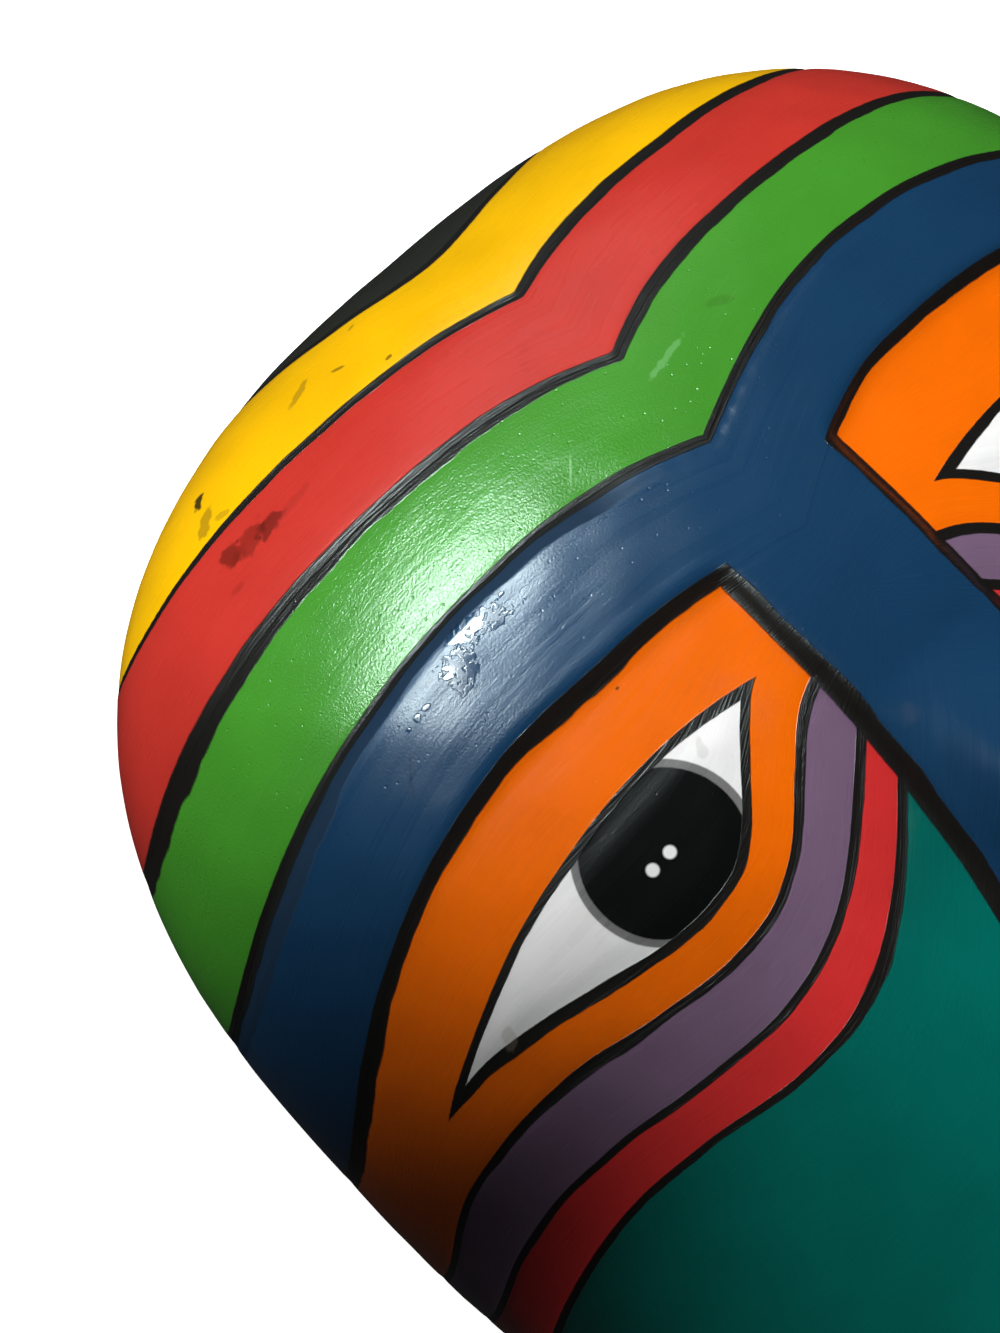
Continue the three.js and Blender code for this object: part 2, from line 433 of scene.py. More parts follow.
def carving(x, y):
    """Height of the features above the dome: nose, lips and chin, less the sunk eye panels. The ridge rises
    to the nose's tip as a power of the way along, is rounded off under it, and falls to either side as a
    smooth step. The wings, lips, parting and chin are bells. A panel is sunk by smooth steps under the
    brow's line and beside the nose, which fade out on the cheek."""
    side = np.abs(x)
    along = np.clip((NOSE["top"] - y) / (NOSE["top"] - NOSE["tip"]), 0, 1)
    under = np.clip((NOSE["tip"] - y) / (NOSE["tip"] - NOSE["base"]), 0, 1)
    ridge = NOSE["height"] * along ** NOSE["rise"] * (1 - under**2) ** NOSE["rounding"]
    ridge = ridge * (1 - smooth(NOSE["flat_share"], NOSE["slope_share"], side / nose_edge(y)))
    wing = NOSE["wing_height"] * bell(np.hypot(
        (side - NOSE["wing_x"]) / NOSE["wing_half_width"], (y - NOSE["wing_y"]) / NOSE["wing_half_length"],
    ))
    share = side / MOUTH["half_width"]
    open_by = np.sqrt(np.clip(1 - share**2, 0, 1))
    above = y - MOUTH["level"]
    swell = MOUTH["height"] * bell(above / (MOUTH["lip"] * np.maximum(open_by, MOUTH["least_share"])))
    cut = MOUTH["parting_depth"] * bell(above / MOUTH["parting"]) * smooth(1, MOUTH["parting_end"], share)
    chin = bell(np.hypot(x / CHIN["half_width"], (y - CHIN["level"]) / CHIN["half_height"]))
    half = PANEL["edge"] / 2
    sunk = PANEL["depth"] * smooth(half, -half, LINES["brow"][0](x, y))
    half = PANEL["side_edge"] / 2
    sunk = sunk * smooth(nose_edge(y) - half, nose_edge(y) + half, side)
    sunk = sunk * smooth(PANEL["fade_bottom"], PANEL["fade_top"], y)
    sunk = sunk * smooth(PANEL["outer_to"], PANEL["outer_from"], side)
    return ridge + wing + swell * np.sqrt(open_by) - cut + CHIN["height"] * chin - sunk


def on_border(shape):
    """True on the first and the last row and column of a grid."""
    edge = np.ones(shape, bool)
    edge[1:-1, 1:-1] = False
    return edge


def dome(rows, columns, inset, base):
    """A grid of points over the outline. Height: base + (top - base) (1 - level^2)^power, and the base on
    the border."""
    disc_x, disc_y, level = disc_grid(rows, columns)
    x, y = outline(disc_x, disc_y, level, inset)
    height = np.where(on_border(level.shape), 0, np.clip(1 - level**2, 0, 1) ** DOME_POWER)
    return np.stack([x, y, base + (DOME_HEIGHT - inset - base) * height], 2)


# A length in millimetres that counts as none, the step over which a slope is taken, and the least slope
# that a distance is divided by.
NEGLIGIBLE = 1e-4
PROBE = 0.05
LEAST_SLOPE = 0.2


def outward(points):
    """Unit normals of a grid of points: the cross product of its two directions, over its length. At the
    corners these directions fall together, so the normal there is level and points away from the middle."""
    normal = np.cross(np.gradient(points, axis=1), np.gradient(points, axis=0))
    length = np.linalg.norm(normal, axis=2, keepdims=True)
    away = points * (1, 1, 0)
    away = away / np.maximum(np.linalg.norm(away, axis=2, keepdims=True), NEGLIGIBLE)
    return np.where(length > NEGLIGIBLE, normal / np.maximum(length, NEGLIGIBLE), away)


def over_surface(line, x, y, normal):
    """Distance from a line, measured over the carved surface: the line's function over its slope along the
    surface. The slope squared is that on the page, less the square of its part along the normal."""
    slope_x = (line(x + PROBE, y) - line(x - PROBE, y)) / (2 * PROBE)
    slope_y = (line(x, y + PROBE) - line(x, y - PROBE)) / (2 * PROBE)
    lost = slope_x * normal[..., 0] + slope_y * normal[..., 1]
    return line(x, y) / np.sqrt(np.clip(slope_x**2 + slope_y**2 - lost**2, LEAST_SLOPE**2, None))


def unevenness(x, y, shortest, longest, count, seed):
    """Hand work is never true: sine waves that run in random directions, their sum over the root of their
    count."""
    draw = np.random.default_rng(seed)
    total = 0 * x
    for _ in range(count):
        angle, phase = draw.uniform(0, 2 * math.pi, 2)
        length = draw.uniform(shortest, longest)
        total = total + np.sin(2 * math.pi * (x * math.cos(angle) + y * math.sin(angle)) / length + phase)
    return total / math.sqrt(count)


# Front skin: dome, features, eyes, incised lines and the unevenness of hand work.
FRONT_ROWS, FRONT_COLUMNS = 307, 265
HOLLOW_SHARE = 3
# Each cut: its depth, how far its bottom lies below the line's middle, and how far it reaches beyond the
# black line above and below. Its depth is (1 - distance / reach)^power. The paint falls away a little
# towards it in a bell, like the edge of a pillow.
CUTS = {
    "charcoal_yellow": (0.3, 0, 0.2, 0.2),
    "yellow_red": (0.3, 0.1, 0.1, 0.2),
    "red_green": (0.22, -0.3, 0, 0.3),
    "green_navy": (0.35, 1.5, 0.2, 1.2),
    "brow": (0.2, 0, 0.1, 0.1),
    "orange_purple": (0.25, 0, 0.4, 0.4),
    "purple_red": (0.25, 0, 0.4, 0.4),
    "red_teal": (0.25, 0, 0.4, 0.4),
}
CUT_POWER = 1.1
PILLOW = {"depth": 0.06, "reach": 5.0}
# Long waves and small dents of the hand. The rim takes only a share of these and of the cuts.
WAVES = {"shortest": 22, "longest": 60, "count": 9, "seed": 5}
DENTS = {"shortest": 6, "longest": 14, "count": 12, "seed": 6}
WAVE_DEPTH, DENT_DEPTH = 0.07, 0.03
RIM_SHARE = 0.4
PANEL_LINES = ["brow", "orange_purple", "purple_red", "red_teal"]

front = dome(FRONT_ROWS, FRONT_COLUMNS, 0, RIM_ROUND)
x, y = front[..., 0].copy(), front[..., 1].copy()
dome_normal = outward(front)
rim = on_border(x.shape)
front[..., 2] += np.where(rim, 0, carving(x, y))
distance = {name: over_surface(shape, x, y, dome_normal) for name, (shape, _) in LINES.items()}
within_lids = np.minimum(-distance["upper_lid"], distance["lower_lid"])
front[..., 2] += EYE["bulge"] * smooth(0, EYE["slope"], within_lids)
normal = outward(front)
half_width_of = {name: np.interp(x, *np.array(widths).T) / 2 for name, (_, widths) in LINES.items()}
beside_nose = distance["nose_side"]
groove = np.zeros(x.shape)
pillow = np.zeros(x.shape)
for name, (cut_depth, below, above, under) in CUTS.items():
    half = half_width_of[name]
    off = distance[name] + below
    reach = np.where(off > 0, half + below + above, half - below + under)
    off = np.abs(off / reach)
    if name in PANEL_LINES:
        off = np.where(beside_nose > 0, off, np.hypot(off, beside_nose / reach))
    groove = np.maximum(groove, cut_depth * np.clip(1 - off, 0, 1) ** CUT_POWER)
    if name != "brow":
        pillow = np.maximum(pillow, bell(distance[name] / PILLOW["reach"]))
depth = groove + PILLOW["depth"] * pillow
depth = depth - WAVE_DEPTH * unevenness(x, y, **WAVES) - DENT_DEPTH * unevenness(x, y, **DENTS)
front = front - normal * depth[..., None] * np.where(rim, RIM_SHARE, 1)[..., None]
front[..., 2] = np.where(rim, RIM_ROUND, front[..., 2])

# Hollow: the same dome drawn in by the wall, with the long scoops of a gouge. Their rows wander, and each
# row starts a little further along than the last. A scoop is shallower at its ends.
SCOOP = {"across": 11, "along": 34, "depth": 0.7, "wander": 2, "stagger": 0.37, "ends": 0.4}
SCOOP_WAVES = {"shortest": 30, "longest": 60, "count": 5, "seed": 8}
hollow_rows = (FRONT_ROWS - 1) // HOLLOW_SHARE + 1
hollow_columns = (FRONT_COLUMNS - 1) // HOLLOW_SHARE + 1
hollow = dome(hollow_rows, hollow_columns, WALL, 0)
hollow_x = hollow[..., 0] + SCOOP["wander"] * unevenness(hollow[..., 0], hollow[..., 1], **SCOOP_WAVES)
stagger = np.round(hollow_x / SCOOP["across"]) * SCOOP["stagger"]
ends = np.abs(np.cos(math.pi * (hollow[..., 1] / SCOOP["along"] + stagger)))
scoop = np.abs(np.cos(math.pi * hollow_x / SCOOP["across"])) * (1 - SCOOP["ends"] + SCOOP["ends"] * ends)
inner_rim = on_border(scoop.shape)
hollow = hollow + outward(hollow) * np.where(inner_rim, 0, SCOOP["depth"] * (scoop - 0.5))[..., None]
hollow[..., 2] = np.where(inner_rim, RIM_ROUND, hollow[..., 2])


def border(rows, columns):
    """Indices of a grid's border, anticlockwise from its first corner."""
    index = np.arange(rows * columns).reshape(rows, columns)
    return np.concatenate([index[0, :-1], index[:-1, -1], index[-1, :0:-1], index[:0:-1, 0]])


# Rim: the edge is rounded off in a quarter circle, and a flat ring runs in to the hollow. The rounding keeps
# the shift that the waves and cuts gave the front skin's edge.
RIM_STEPS = 3
front_border = border(FRONT_ROWS, FRONT_COLUMNS)
hollow_border = border(hollow_rows, hollow_columns)
rings = []
disc_x, disc_y, _ = (part.reshape(-1)[front_border] for part in disc_grid(FRONT_ROWS, FRONT_COLUMNS))
moved = front.reshape(-1, 3)[front_border, :2] - np.stack(outline(disc_x, disc_y, 1, 0), 1)
for step in range(1, RIM_STEPS + 1):
    angle = step / RIM_STEPS * math.pi / 2
    edge = np.stack(outline(disc_x, disc_y, 1, RIM_ROUND * (1 - math.cos(angle))), 1) + moved
    rings.append(np.column_stack([edge, np.full(len(edge), RIM_ROUND * (1 - math.sin(angle)))]))
inner_x, inner_y, _ = (part.reshape(-1)[hollow_border] for part in disc_grid(hollow_rows, hollow_columns))
lip = np.stack(outline(inner_x, inner_y, 1, WALL - RIM_ROUND), 1)
lip = np.column_stack([lip, np.zeros(len(lip))])

points = np.concatenate([front.reshape(-1, 3), *rings, lip, hollow.reshape(-1, 3)])
ring_starts = front.shape[0] * front.shape[1] + len(front_border) * np.arange(RIM_STEPS + 1)
loops = [front_border] + [start + np.arange(len(front_border)) for start in ring_starts[:-1]]
lip_loop = ring_starts[-1] + np.arange(len(hollow_border))
hollow_start = ring_starts[-1] + len(hollow_border)
hollow_loop = hollow_start + hollow_border


def strip(one, two):
    """Triangles between two closed loops of equal length. The second is the next on the way from the front
    round the rim and into the hollow."""
    one_next, two_next = np.roll(one, -1), np.roll(two, -1)
    return np.concatenate([np.stack([one, two, one_next], 1), np.stack([one_next, two, two_next], 1)])


def fan(outer, inner):
    """Triangles between two closed loops, with three edges of the outer one to each edge of the inner."""
    a, b, c = (np.roll(outer, -k)[::HOLLOW_SHARE] for k in range(3))
    d = np.roll(outer, -HOLLOW_SHARE)[::HOLLOW_SHARE]
    after = np.roll(inner, -1)
    sides = [(a, inner, b), (b, inner, c), (c, inner, after), (c, after, d)]
    return np.concatenate([np.stack(side, 1) for side in sides])


painted = [grid_faces(FRONT_ROWS, FRONT_COLUMNS)]
painted += [strip(one, two) for one, two in zip(loops, loops[1:])]
bare = [fan(loops[-1], lip_loop), strip(lip_loop, hollow_loop)]
bare.append(grid_faces(hollow_rows, hollow_columns, hollow_start)[:, ::-1])
faces = np.concatenate(painted + bare)
mask = new_piece("carved_mask", (points + (0, WIDEST_LEVEL, 0)) * MM, faces)
is_bare = np.arange(len(faces)) >= sum(len(part) for part in painted)
mask.data.polygons.foreach_set("material_index", is_bare.astype(np.int32))

# Every line's distance goes into the mesh in half widths of the line, up to three lines to an attribute.
# The distance from the middle of the eye goes in as millimetres.
LINE_SETS = {
    "crown_lines": ["charcoal_yellow", "yellow_red", "red_green"],
    "brow_lines": ["green_navy", "brow", "nose_side"],
    "lid_lines": ["upper_lid", "lower_lid", "iris"],
    "cheek_lines": ["orange_purple", "purple_red", "red_teal"],
    "mouth_lines": ["lips", "chin"],
}
# The brush strokes run along the bands: the level across them is the same all along a line. The place
# along them is an angle about a point below the rim, times a radius.
STROKE_LEVELS = [
    ("red_teal", -24), ("purple_red", -15), ("orange_purple", -6), ("brow", 32), ("green_navy", 53),
    ("red_green", 71), ("yellow_red", 87), ("charcoal_yellow", 102),
]
STROKE_RADIUS, STROKE_CENTRE = 85, -30
NARROWEST_BAND = 0.5


def front_attribute(name, values):
    """Stores two or three values at each point of the front skin. The rounded rim repeats those of the edge,
    and the bare wood has none."""
    flat = np.stack(values, 2).reshape(-1, len(values))
    flat = np.concatenate([flat] + [flat[front_border]] * RIM_STEPS)
    whole = np.zeros((len(points), 3))
    whole[:len(flat), :len(values)] = flat
    mask.data.attributes.new(name, "FLOAT_VECTOR", "POINT").data.foreach_set("vector", whole.ravel())


eye_x = np.where(x > 0, EYE["x"], -EYE["x"])
eye_y = EYE["y"] + RIGHT_EYE_LIFT * (x > 0)
eye_z = front[..., 2].ravel()[np.argmin(np.hypot(x + EYE["x"], y - EYE["y"]))]
from_iris = np.sqrt((x - eye_x) ** 2 + (y - eye_y) ** 2 + (front[..., 2] - eye_z) ** 2)
fields = {name: distance[name] / half_width_of[name] for name in LINES} | {"iris": from_iris}
for name, members in LINE_SETS.items():
    front_attribute(name, [fields[member] for member in members])

heights = [y - LINES[name][0](x, y) for name, _ in STROKE_LEVELS]
across = STROKE_LEVELS[0][1] + np.minimum(y - heights[0], 0)
for k in range(len(heights) - 1):
    gap = np.maximum(heights[k + 1] - heights[k], NARROWEST_BAND)
    share = np.clip((y - heights[k]) / gap, 0, 1)
    across = across + share * (STROKE_LEVELS[k + 1][1] - STROKE_LEVELS[k][1])
across = across + np.maximum(y - heights[-1], 0)
along = STROKE_RADIUS * np.arctan2(x, front[..., 2] - STROKE_CENTRE)
front_attribute("stroke", [along, across])

# Gloss enamel, brushed on by hand over the carved wood: deep flat colour with faint strokes along the
# bands, a soft sheen, and a thin clear skin that glints where the brush left ridges.
PAINTS = {
    "charcoal": "#2B2D28",
    "yellow": "#FDC203",
    "red": "#C8362C",
    "green": "#44952B",
    "navy": "#153C5E",
    "orange": "#FD7002",
    "purple": "#78607A",
    "lower_red": "#D43030",
    "teal": "#00645A",
    "white": "#FCFDFC",
    "iris_grey": "#7C7C7C",
    "pupil_black": "#0D0F0F",
    "line_black": "#171513",
}
# Each field of colour, in the order in which it covers the last: where it lies from its lines, above (1) or
# below (-1) each of them. Its black outline follows the same lines.
PAINTED_FIELDS = [
    ("yellow", [("charcoal_yellow", -1)]),
    ("red", [("yellow_red", -1)]),
    ("green", [("red_green", -1)]),
    ("navy", [("green_navy", -1)]),
    ("orange", [("brow", -1), ("nose_side", 1)]),
    ("purple", [("orange_purple", -1), ("nose_side", 1)]),
    ("lower_red", [("purple_red", -1), ("nose_side", 1)]),
    ("teal", [("red_teal", -1), ("nose_side", 1)]),
    ("navy", [("chin", -1)]),
    ("lower_red", [("lips", -1)]),
    ("white", [("upper_lid", -1), ("lower_lid", 1)]),
]
EDGE_SOFTNESS = 0.12
# White dots on each pupil: distance from the middle of the face, and height.
DOTS = [(44.2, 9.3), (47.5, 9.05)]
DOT_RADIUS, DOT_SOFTNESS = 0.94, 0.2

# A Map Range node takes its value at socket 0, the span that it comes from at 1 and 2, and the span that it
# goes to at 3 and 4. A noise hardly leaves this span, so it is stretched from there.
NOISE_SPAN = {1: 0.3, 2: 0.7}

enamel = bpy.data.materials.new("gloss enamel brushed on carved wood")
enamel.use_nodes = True
tree = enamel.node_tree
shader = tree.nodes["Principled BSDF"]
place = add(tree, "ShaderNodeTexCoord").outputs["Object"]
place_mm = add(tree, "ShaderNodeVectorMath", {0: place, "Scale": 1 / MM}, operation="SCALE").outputs[0]
stroke = add(tree, "ShaderNodeAttribute", attribute_name="stroke").outputs["Vector"]


def noise_at(tree, vector, sizes, detail):
    """A noise between 0 and 1 whose grains have a size in millimetres along each axis of the vector."""
    scale = tuple(1 / size for size in sizes)
    stretched = add(tree, "ShaderNodeVectorMath", {0: vector, 1: scale}, operation="MULTIPLY").outputs[0]
    return add(tree, "ShaderNodeTexNoise", {"Vector": stretched, "Scale": 1.0, "Detail": detail}).outputs[0]


# The hand that drew the lines wavered. In half widths of a line, its edges wander and are a little ragged,
# and its width swells and thins.
WANDER = (-0.2, 0.08)
RAGGED = 0.12
SWELL = (1.1, 0.92)

waver = noise_at(tree, place_mm, (9, 9, 9), 2.0)
ragged = noise_at(tree, place_mm, (1.3, 1.3, 1.3), 2.0)
wander = add(tree, "ShaderNodeMapRange", NOISE_SPAN | {0: waver, 3: WANDER[0], 4: WANDER[1]}).outputs[0]
wander = add(tree, "ShaderNodeMath", {0: ragged, 1: RAGGED, 2: wander}, operation="MULTIPLY_ADD").outputs[0]
swell = add(tree, "ShaderNodeMapRange", NOISE_SPAN | {0: waver, 3: SWELL[0], 4: SWELL[1]}).outputs[0]
line_at = {}
for name, members in LINE_SETS.items():
    read = add(tree, "ShaderNodeAttribute", attribute_name=name).outputs["Vector"]
    parts = add(tree, "ShaderNodeSeparateXYZ", {0: read}).outputs
    for axis, member in enumerate(members):
        line_at[member] = parts[axis]
        if member != "iris":
            drawn = {0: parts[axis], 1: swell, 2: wander}
            line_at[member] = add(tree, "ShaderNodeMath", drawn, operation="MULTIPLY_ADD").outputs[0]


def inside(terms, margin):
    """1 inside a painted field and 0 outside: the product of a soft step at each of its lines, drawn in by
    margin in half widths of the line."""
    whole = 1.0
    for member, side in terms:
        edge = side * margin
        near = add(tree, "ShaderNodeMapRange", {
            0: line_at[member], 1: edge - side * EDGE_SOFTNESS, 2: edge + side * EDGE_SOFTNESS,
        }, interpolation_type="SMOOTHSTEP").outputs[0]
        whole = add(tree, "ShaderNodeMath", {0: whole, 1: near}, operation="MULTIPLY").outputs[0]
    return whole


# The coats of colour in the order in which they go on, each with where it covers those below.
coats = []
black = 0.0
for name, terms in PAINTED_FIELDS:
    coats.append((PAINTS[name], inside(terms, 0)))
    edge = {0: inside(terms, -1), 1: inside(terms, 1)}
    edge = add(tree, "ShaderNodeMath", edge, operation="SUBTRACT").outputs[0]
    black = add(tree, "ShaderNodeMath", {0: black, 1: edge}, operation="MAXIMUM").outputs[0]

# Iris, pupil and the two white dots on it, each a disc cut off by the lids.
in_eye = inside([("upper_lid", -1), ("lower_lid", 1)], 0)
discs = [
    ("iris_grey", line_at["iris"], EYE["iris"], EYE["softness"]),
    ("pupil_black", line_at["iris"], EYE["pupil"], EYE["softness"]),
]
for dot_x, dot_y in DOTS:
    for side in (-1, 1):
        level = dot_y + RIGHT_EYE_LIFT * (side > 0)
        nearest = np.argmin(np.hypot(x - side * dot_x, y - level))
        dot = (side * dot_x, level + WIDEST_LEVEL, front[..., 2].ravel()[nearest])
        gap = add(tree, "ShaderNodeVectorMath", {0: place_mm, 1: dot}, operation="DISTANCE").outputs["Value"]
        discs.append(("white", gap, DOT_RADIUS, DOT_SOFTNESS))
for name, gap, radius, softness in discs:
    near = add(tree, "ShaderNodeMapRange", {
        0: gap, 1: radius + softness, 2: radius - softness,
    }, interpolation_type="SMOOTHSTEP").outputs[0]
    where = add(tree, "ShaderNodeMath", {0: near, 1: in_eye}, operation="MULTIPLY").outputs[0]
    coats.append((PAINTS[name], where))
coats.append((PAINTS["line_black"], black))

# Marks of use, each an ellipse on the surface with a ragged edge: place, length, breadth, turn from the
# band, colour and strength. Lengths are in millimetres and turns in degrees.
MARKS = [
    ((-52.5, 93.8), 4.6, 2.6, 70, "#2E2A12", 0.95),
    ((-54.4, 90.0), 7.0, 3.0, 60, "#A88410", 0.75),
    ((-52.3, 88.8), 4.5, 1.6, -20, "#B08C14", 0.6),
    ((-30.7, 94.9), 7.5, 1.8, 35, "#B88E10", 0.75),
    ((-24.6, 93.9), 3.4, 0.8, -35, "#8A6A10", 0.8),
    ((-17.2, 97.9), 1.6, 0.8, 20, "#9A7410", 0.7),
    ((-18.8, 89.2), 1.4, 0.9, 0, "#6A5010", 0.8),
    ((-56.4, 82.6), 5.5, 5.0, 0, "#6A1E14", 0.75),
    ((-53.0, 82.3), 7.5, 5.0, 20, "#742016", 0.6),
    ((-49.5, 82.3), 6.5, 3.6, 10, "#5A1A12", 0.7),
    ((-45.5, 82.0), 8.0, 2.0, 10, "#8E281E", 0.25),
    ((-59.6, 77.8), 3.2, 1.4, 0, "#8A241A", 0.35),
    ((5.2, 59.8), 10.5, 1.3, 12, "#86C97E", 0.38),
    ((-16.4, 56.9), 6.5, 0.4, 48, "#9AD492", 0.5),
    ((18.1, 61.0), 6, 2.0, -30, "#3C7A22", 0.5),
    ((-33.8, 30.2), 0.8, 0.5, 0, "#4A1C04", 0.8),
    ((-76.4, 4.9), 4.4, 2.2, 50, "#A09488", 0.24),
    ((-31.5, 16.5), 3.4, 1.8, 60, "#C8C8C4", 0.4),
    ((-49.0, 46.6), 3.4, 0.7, 20, "#10233A", 0.8),
    ((-52.2, 48.6), 2.2, 0.5, 10, "#10233A", 0.7),
    ((-35.2, 50.0), 2.6, 0.4, 30, "#10233A", 0.6),
    ((-60.5, 42.0), 4.6, 0.5, 50, "#12253C", 0.7),
    ((-63.0, 39.6), 3.2, 0.4, 60, "#12253C", 0.6),
]
MARK_EDGE = (1.85, 1.45)
MARK_RAGGED = 1.6
MARK_HALF_DEPTH = 6

mark_noise = noise_at(tree, place_mm, (1.6, 1.6, 1.6), 4.0)


def ellipse_at(at_x, at_y, long, broad, angle):
    """Distance from the middle of an ellipse that lies on the surface, in half widths of the ellipse, plus a
    noise. Its length is turned from the direction of the bands by an angle in degrees."""
    nearest = np.argmin(np.hypot(x - at_x, y - at_y))
    point = Vector(front.reshape(-1, 3)[nearest]) + Vector((0, WIDEST_LEVEL, 0))
    up = Vector(dome_normal.reshape(-1, 3)[nearest])
    band = Vector((0, 1, 0)).cross(up).normalized()
    axes = Matrix((band, up.cross(band), up)).transposed() @ Matrix.Rotation(math.radians(angle), 3, "Z")
    local = add(tree, "ShaderNodeMapping", {
        "Vector": place_mm, "Location": point, "Rotation": axes.to_euler(),
        "Scale": (long / 2, broad / 2, MARK_HALF_DEPTH),
    }, vector_type="TEXTURE").outputs[0]
    size = add(tree, "ShaderNodeVectorMath", {0: local}, operation="LENGTH").outputs["Value"]
    uneven = {0: mark_noise, 1: MARK_RAGGED, 2: size}
    return add(tree, "ShaderNodeMath", uneven, operation="MULTIPLY_ADD").outputs[0]


for (mark_x, mark_y), long, broad, angle, shade, strength in MARKS:
    size = ellipse_at(mark_x, mark_y, long, broad, angle)
    where = add(tree, "ShaderNodeMapRange", {
        0: size, 1: MARK_EDGE[0], 2: MARK_EDGE[1], 4: strength,
    }, interpolation_type="SMOOTHSTEP").outputs[0]
    coats.append((shade, where))

# Painted shade: the groove's wall under the green, on the navy's side, faces away from the light, so the
# paint there is darkened, and made dull. It starts a little left of the middle of the face, and reaches a
# few half widths of the line into the navy.
GROOVE_SHADE_X = (-8, -20)
GROOVE_SHADE_REACH = (-4.0, -3.5)
GROOVE_SHADE_DARKNESS = 0.5

across_face = add(tree, "ShaderNodeSeparateXYZ", {0: place_mm}).outputs[0]
groove_shade = inside([("green_navy", -1)], 0)
for measure, (none, full) in ((across_face, GROOVE_SHADE_X), (line_at["green_navy"], GROOVE_SHADE_REACH)):
    near = add(tree, "ShaderNodeMapRange", {0: measure, 1: none, 2: full}).outputs[0]
    groove_shade = add(tree, "ShaderNodeMath", {0: groove_shade, 1: near}, operation="MULTIPLY").outputs[0]
# The painted shade is a coat of the pupil's black, at half strength where it is full.
where = add(tree, "ShaderNodeMath", {0: groove_shade, 1: GROOVE_SHADE_DARKNESS}, operation="MULTIPLY").outputs[0]
coats.append((PAINTS["pupil_black"], where))

colour = linear(PAINTS["charcoal"])
for paint, where in coats:
    cover = {"Factor": where, 6: colour, 7: linear(paint)}
    colour = add(tree, "ShaderNodeMix", cover, data_type="RGBA").outputs[2]

# Brushed enamel isn't even: broad patches and faint strokes run through its tone, its gloss and its relief.
PATCH_TONE = (0.91, 1.03)
BRISTLE_TONE = 0.04

patches = noise_at(tree, place_mm, (14, 14, 14), 3.0)
strokes = noise_at(tree, stroke, (26, 1.9, 1), 2.0)
bristles = noise_at(tree, stroke, (6, 0.4, 1), 2.0)
dimples = noise_at(tree, stroke, (2.9, 0.7, 1), 2.0)
grain = noise_at(tree, place_mm, (0.36, 0.36, 0.36), 1.0)
tone = NOISE_SPAN | {0: patches, 3: PATCH_TONE[0], 4: PATCH_TONE[1]}
tone = {0: bristles, 1: BRISTLE_TONE, 2: add(tree, "ShaderNodeMapRange", tone).outputs[0]}
tone = add(tree, "ShaderNodeMath", tone, operation="MULTIPLY_ADD").outputs[0]
colour = add(tree, "ShaderNodeVectorMath", {0: colour, "Scale": tone}, operation="SCALE").outputs[0]
tree.links.new(colour, shader.inputs["Base Color"])

# Some thick varnish has run down the brow and stays wet-looking. Each run is an ellipse, either puckered
# into a net of ropes or a plain bead. A noise bends the net's cells, and a rope's half width is a share of
# a cell's size.
RUNS = [
    ((-47.2, 47.7), 7.4, 6.0, 40, "net"),
    ((-41.2, 49.9), 11.2, 4.0, -12, "net"),
    ((-36.2, 50.8), 1.1, 0.8, 0, "bead"),
    ((-54.2, 46.3), 2.1, 1.4, 0, "bead"),
    ((-56.0, 45.9), 1.9, 1.3, 50, "bead"),
    ((-57.6, 45.6), 1.4, 1.0, 0, "bead"),
]
RUN_EDGE = {"net": (1.8, 1.6), "bead": (1.8, 0.9)}
NET_CELL = 1.6
NET_BEND, NET_BEND_SIZE = 1.6, 1.5
NET_ROPE = (0.26, 0.15)
WET_SPAN = (0.2, 0.5)

bent = {"Vector": place_mm, "Scale": 1 / NET_BEND_SIZE, "Detail": 1.0}
bent = add(tree, "ShaderNodeTexNoise", bent).outputs["Color"]
bent = add(tree, "ShaderNodeVectorMath", {0: bent, "Scale": NET_BEND}, operation="SCALE").outputs[0]
bent = add(tree, "ShaderNodeVectorMath", {0: place_mm, 1: bent}, operation="ADD").outputs[0]
cells = {"Vector": bent, "Scale": 1 / NET_CELL}
cells = add(tree, "ShaderNodeTexVoronoi", cells, feature="DISTANCE_TO_EDGE").outputs["Distance"]
net = {0: cells, 1: NET_ROPE[0], 2: NET_ROPE[1]}
net = add(tree, "ShaderNodeMapRange", net, interpolation_type="SMOOTHSTEP").outputs[0]
thick = 0.0
for (run_x, run_y), long, broad, angle, kind in RUNS:
    run = {0: ellipse_at(run_x, run_y, long, broad, angle), 1: RUN_EDGE[kind][0], 2: RUN_EDGE[kind][1]}
    run = add(tree, "ShaderNodeMapRange", run, interpolation_type="SMOOTHSTEP").outputs[0]
    if kind == "net":
        run = add(tree, "ShaderNodeMath", {0: run, 1: net}, operation="MULTIPLY").outputs[0]
    thick = add(tree, "ShaderNodeMath", {0: thick, 1: run}, operation="MAXIMUM").outputs[0]
wet = add(tree, "ShaderNodeMapRange", {0: thick, 1: WET_SPAN[0], 2: WET_SPAN[1]}).outputs[0]

# Roughness: that of the strokes, what the green and the navy add to it, and that of the black lines, the
# painted shade in the groove under the green, and the wet runs.
ROUGHNESS = {
    "strokes": (0.24, 0.31), "green": -0.03, "navy": 0.01, "black": 0.42, "groove_shade": 0.95, "wet": 0.06,
}
in_green = inside([("red_green", -1), ("green_navy", 1)], 0)
in_navy = inside([("green_navy", -1), ("brow", 1)], 0)
gloss = NOISE_SPAN | {0: strokes, 3: ROUGHNESS["strokes"][0], 4: ROUGHNESS["strokes"][1]}
gloss = add(tree, "ShaderNodeMapRange", gloss).outputs[0]
for name, where in (("green", in_green), ("navy", in_navy)):
    gloss = {0: where, 1: ROUGHNESS[name], 2: gloss}
    gloss = add(tree, "ShaderNodeMath", gloss, operation="MULTIPLY_ADD").outputs[0]
for name, where in (("black", black), ("groove_shade", groove_shade), ("wet", wet)):
    gloss = add(tree, "ShaderNodeMix", {"Factor": where, 2: gloss, 3: ROUGHNESS[name]}).outputs[0]
tree.links.new(gloss, shader.inputs["Roughness"])

